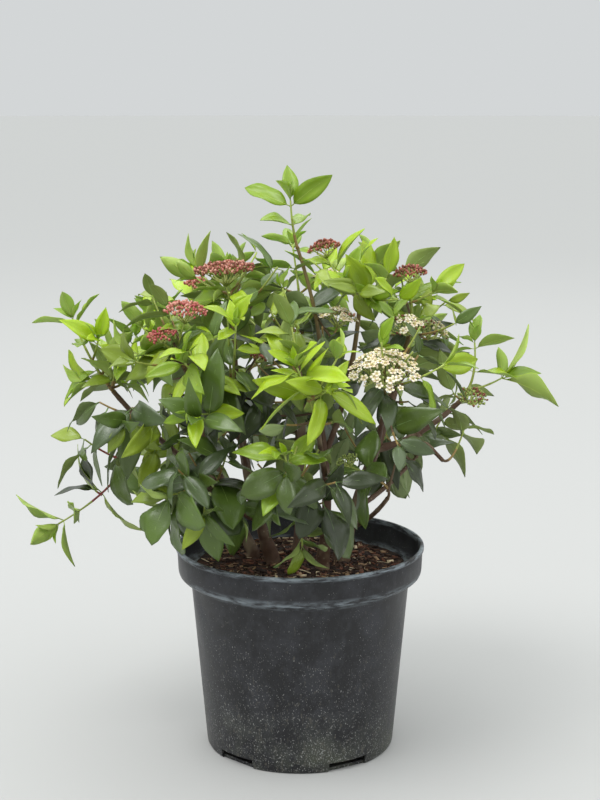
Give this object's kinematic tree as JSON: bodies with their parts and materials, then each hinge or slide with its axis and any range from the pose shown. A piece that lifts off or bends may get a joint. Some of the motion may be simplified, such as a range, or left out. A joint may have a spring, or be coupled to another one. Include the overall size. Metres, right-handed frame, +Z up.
{
  "type": "potted flowering shrub",
  "caption": "Bushy evergreen shrub with pink buds, small pale blossom and pale spring shoots, growing in a round tapering black nursery pot of bark compost.",
  "frame": {"origin": "centre of the pot's flat underside", "axes": "+Z up along the pot's axis, the plant's pictured front faces -Y, +X to the front's right"},
  "size_m": [0.4126, 0.3335, 0.4443],
  "materials": {
    "pot_polypropylene": "satin black moulded polypropylene",
    "bark_compost": "moist shredded bark compost",
    "bark": "reddish-brown bark",
    "leaf_young": "soft lime-green spring leaves",
    "leaf_grown": "mid-green satin leaves",
    "leaf_old": "dark green leathery leaves"
  },
  "bodies": {
    "root": {"pot": "pot_polypropylene", "soil": "bark_compost", "stem_left": "bark", "stem_left_back": "bark", "stem_middle": "bark", "stem_right": "bark", "stem_back": "bark", "bough_top_left": "bark", "bough_left_inner": "bark", "bough_left": "bark", "bough_left_front": "bark", "bough_left_low": "bark", "bough_front_left": "bark", "bough_front_left_low": "bark", "bough_leader": "bark", "bough_top_right": "bark", "bough_front": "bark", "bough_front_low": "bark", "bough_right_up": "bark", "bough_right": "bark", "bough_right_low": "bark", "bough_front_right": "bark", "bough_front_right_low": "bark", "bough_back_left_low": "bark", "bough_back_low": "bark", "bough_back_right": "bark", "bough_back_right_low": "bark", "foliage_leader": "leaf_young", "foliage_top_left": "leaf_young", "foliage_left_inner": "leaf_young", "foliage_left": "leaf_young", "foliage_left_front": "leaf_grown", "foliage_left_low": "leaf_grown", "foliage_front_left": "leaf_old", "foliage_front_left_low": "leaf_old", "foliage_centre": "leaf_old", "foliage_top_right": "leaf_young", "foliage_front": "leaf_young", "foliage_front_low": "leaf_old", "foliage_right_up": "leaf_grown", "foliage_right": "leaf_grown", "foliage_right_low": "leaf_old", "foliage_front_right": "leaf_old", "foliage_front_right_low": "leaf_old", "foliage_back_left": "leaf_grown", "foliage_back_left_low": "leaf_old", "foliage_back": "leaf_grown", "foliage_back_low": "leaf_old", "foliage_back_right": "leaf_grown", "foliage_back_right_low": "leaf_old"}
  },
  "joints": []
}
